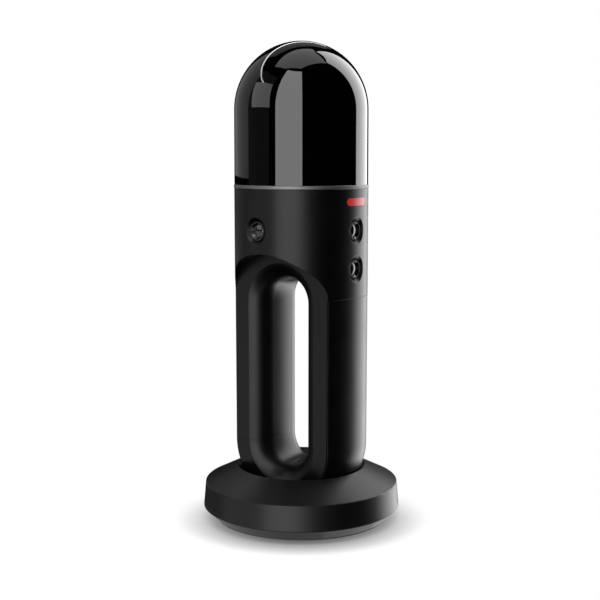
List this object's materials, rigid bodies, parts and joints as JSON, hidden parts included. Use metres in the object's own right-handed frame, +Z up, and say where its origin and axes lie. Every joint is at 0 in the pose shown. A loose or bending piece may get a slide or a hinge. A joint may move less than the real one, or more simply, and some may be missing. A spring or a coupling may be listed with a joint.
{
  "type": "handheld laser scanner",
  "caption": "Capsule-shaped handheld laser scanner with a finger slot, cameras and a glossy black dome, standing in a round charging dock.",
  "frame": {"origin": "middle of the dock's underside, on the surface that it stands on", "axes": "+Z up; -Y towards the scanner's front (cameras and battery door); the finger slot runs along X"},
  "size_m": [0.1204, 0.1204, 0.2865],
  "materials": {
    "dock_black": "satin black moulded plastic",
    "body_black": "satin black anodised",
    "rubber_black": "matt",
    "ballast_iron": "plain",
    "board_green": "solder mask",
    "steel": "bright",
    "inner_plastic": "plain",
    "gold": "gold plated",
    "red_mark": "red enamel",
    "battery_plastic": "plain",
    "button_black": "satin",
    "light_ring": "translucent grey",
    "dome_black": "high gloss, dark tinted",
    "machined_aluminium": "machined",
    "motor_copper": "copper windings",
    "mirror_silver": "silvered",
    "lens_glass": "clear",
    "camera_glass": "coated",
    "bezel_black": "satin"
  },
  "bodies": {
    "dock": {"dock_top_shell": "dock_black", "dock_base_plate": "dock_black", "dock_foot_ring": "rubber_black", "dock_ballast_ring": "ballast_iron", "dock_circuit_board": "board_green", "dock_usb_port": "steel", "dock_contact_block": "inner_plastic", "dock_pin_springs": "steel", "dock_screws": "steel"},
    "contact_pins": {"dock_contact_pins": "gold"},
    "turret": {"azimuth_bearing_inner": "steel", "azimuth_motor_rotor": "steel", "encoder_disc": "machined_aluminium", "slip_ring_rotor": "gold", "turret_spindle": "machined_aluminium", "turret_frame": "machined_aluminium", "mirror_bearings": "steel", "mirror_motor_stator": "motor_copper", "receiver_lens": "lens_glass", "laser_module": "inner_plastic"},
    "mirror": {"mirror_motor_rotor": "steel", "mirror_shaft": "steel", "scan_mirror": "mirror_silver"},
    "power_button": {"power_button": "button_black"},
    "release_button": {"door_release_button": "button_black"},
    "door": {"battery_door": "body_black"},
    "battery": {"battery_pack": "battery_plastic"},
    "scanner": {"main_housing": "body_black", "foot_cap": "body_black", "front_badge": "red_mark", "battery_terminals": "gold", "door_clips": "steel", "door_release_spring": "steel", "power_button_spring": "steel", "power_switch": "inner_plastic", "main_board": "board_green", "imu_module": "inner_plastic", "charge_contact_block": "inner_plastic", "charge_contact_pads": "gold", "led_ring": "light_ring", "dome": "dome_black", "dome_seal": "rubber_black", "head_plate": "machined_aluminium", "head_screws": "steel", "azimuth_bearing_outer": "steel", "azimuth_bearing_balls": "steel", "azimuth_motor_stator": "motor_copper", "encoder_reader": "inner_plastic", "slip_ring_stator": "inner_plastic", "camera_modules": "inner_plastic", "camera_front_detail_bezel": "bezel_black", "camera_front_detail_lens": "camera_glass", "camera_front_view_bezel": "bezel_black", "camera_front_view_lens": "camera_glass", "camera_right_view_bezel": "bezel_black", "camera_right_view_lens": "camera_glass", "camera_left_view_bezel": "bezel_black", "camera_left_view_lens": "camera_glass"}
  },
  "joints": [
    {"name": "scanner_lift", "type": "slide", "parent": "dock", "child": "scanner", "axis": [0, 0, 1], "range_m": [0, 0.12]},
    {"name": "azimuth_spin", "type": "hinge", "parent": "scanner", "child": "turret", "pos_m": [0, 0, 0.1885], "axis": [0, 0, 1], "continuous": true},
    {"name": "mirror_spin", "type": "hinge", "parent": "turret", "child": "mirror", "pos_m": [0, 0, 0.2468], "axis": [1, 0, 0], "continuous": true},
    {"name": "battery_door_slide", "type": "slide", "parent": "scanner", "child": "door", "axis": [0, -1, 0], "range_m": [0, 0.08]},
    {"name": "battery_slide", "type": "slide", "parent": "scanner", "child": "battery", "axis": [0, -1, 0], "range_m": [0, 0.04]},
    {"name": "door_release_press", "type": "slide", "parent": "scanner", "child": "release_button", "axis": [0, -1, 0], "range_m": [0, 0.0015], "stiffness_N_per_m": 800, "springref_m": -0.001, "deforming": ["door_release_spring"]},
    {"name": "power_press", "type": "slide", "parent": "scanner", "child": "power_button", "axis": [0, -1, 0], "range_m": [0, 0.0008], "stiffness_N_per_m": 1500, "springref_m": -0.0005, "deforming": ["power_button_spring"]},
    {"name": "contact_pin_press", "type": "slide", "parent": "dock", "child": "contact_pins", "axis": [0, 0, -1], "range_m": [0, 0.0008], "stiffness_N_per_m": 800, "springref_m": -0.0008, "deforming": ["dock_pin_springs"]}
  ],
  "couplings": [
    {"joint": "battery_slide", "follows": "battery_door_slide", "ratio": 0.5}
  ]
}
